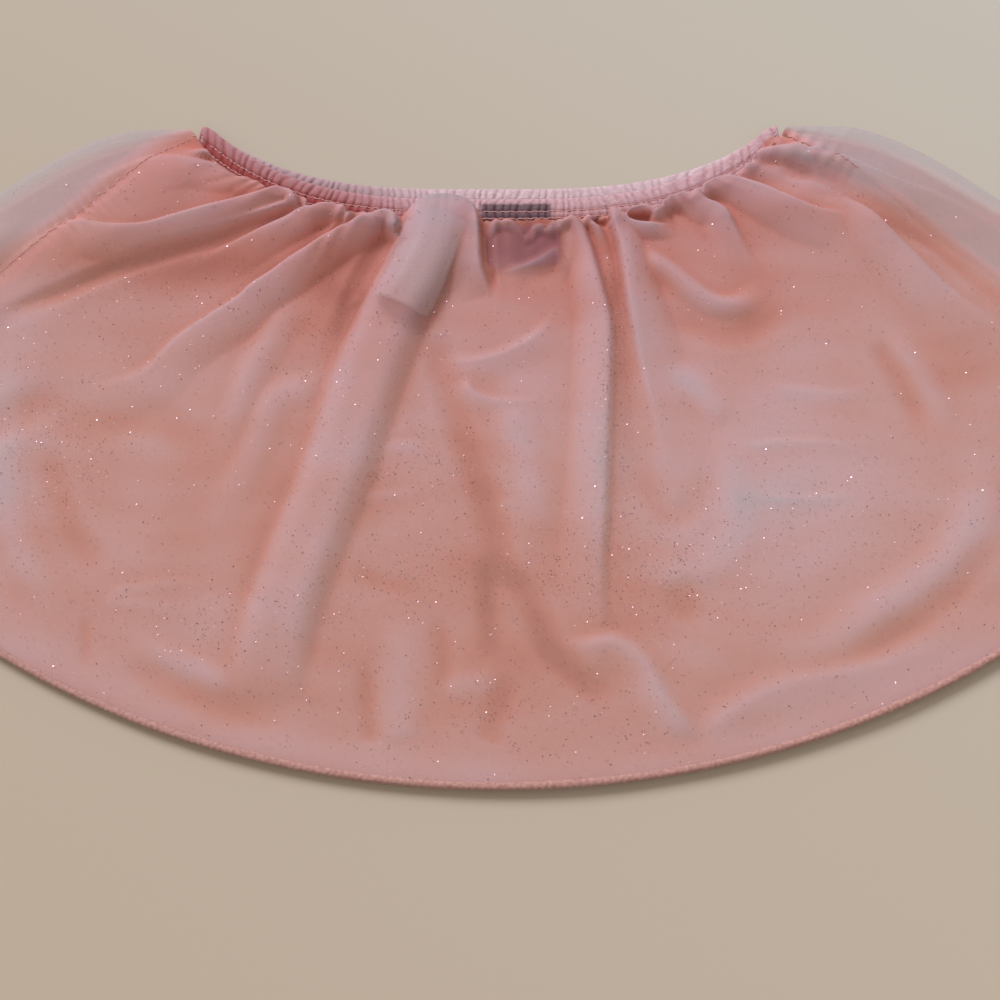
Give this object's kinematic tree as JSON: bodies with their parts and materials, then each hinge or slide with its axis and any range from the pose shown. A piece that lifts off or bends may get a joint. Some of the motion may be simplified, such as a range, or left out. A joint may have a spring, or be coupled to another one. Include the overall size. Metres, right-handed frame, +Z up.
{
  "type": "ballet skirt",
  "caption": "Child's pull-on ballet skirt in sheer cloth with a ribbed elastic waist and a rolled hem, laid flat with soft folds.",
  "frame": {"origin": "on the surface under the skirt, below the middle of its bounding box", "axes": "+Z up from the surface, +Y towards the waist, +X to the right as laid with the back panel uppermost"},
  "size_m": [0.5981, 0.3028, 0.0176],
  "materials": {
    "pink_chiffon": "sheer, soft sheen, fine glitter",
    "elastic_casing": "gathered, matt",
    "rolled_hem": "matt",
    "white_tape": "smooth, satin",
    "dark_tape": "smooth, satin"
  },
  "bodies": {
    "root": {"back_panel": "pink_chiffon", "front_panel": "pink_chiffon", "waistband_back": "elastic_casing", "waistband_front": "elastic_casing", "hem_back": "rolled_hem", "hem_front": "rolled_hem", "care_label": "white_tape", "size_label": "dark_tape"}
  },
  "joints": []
}
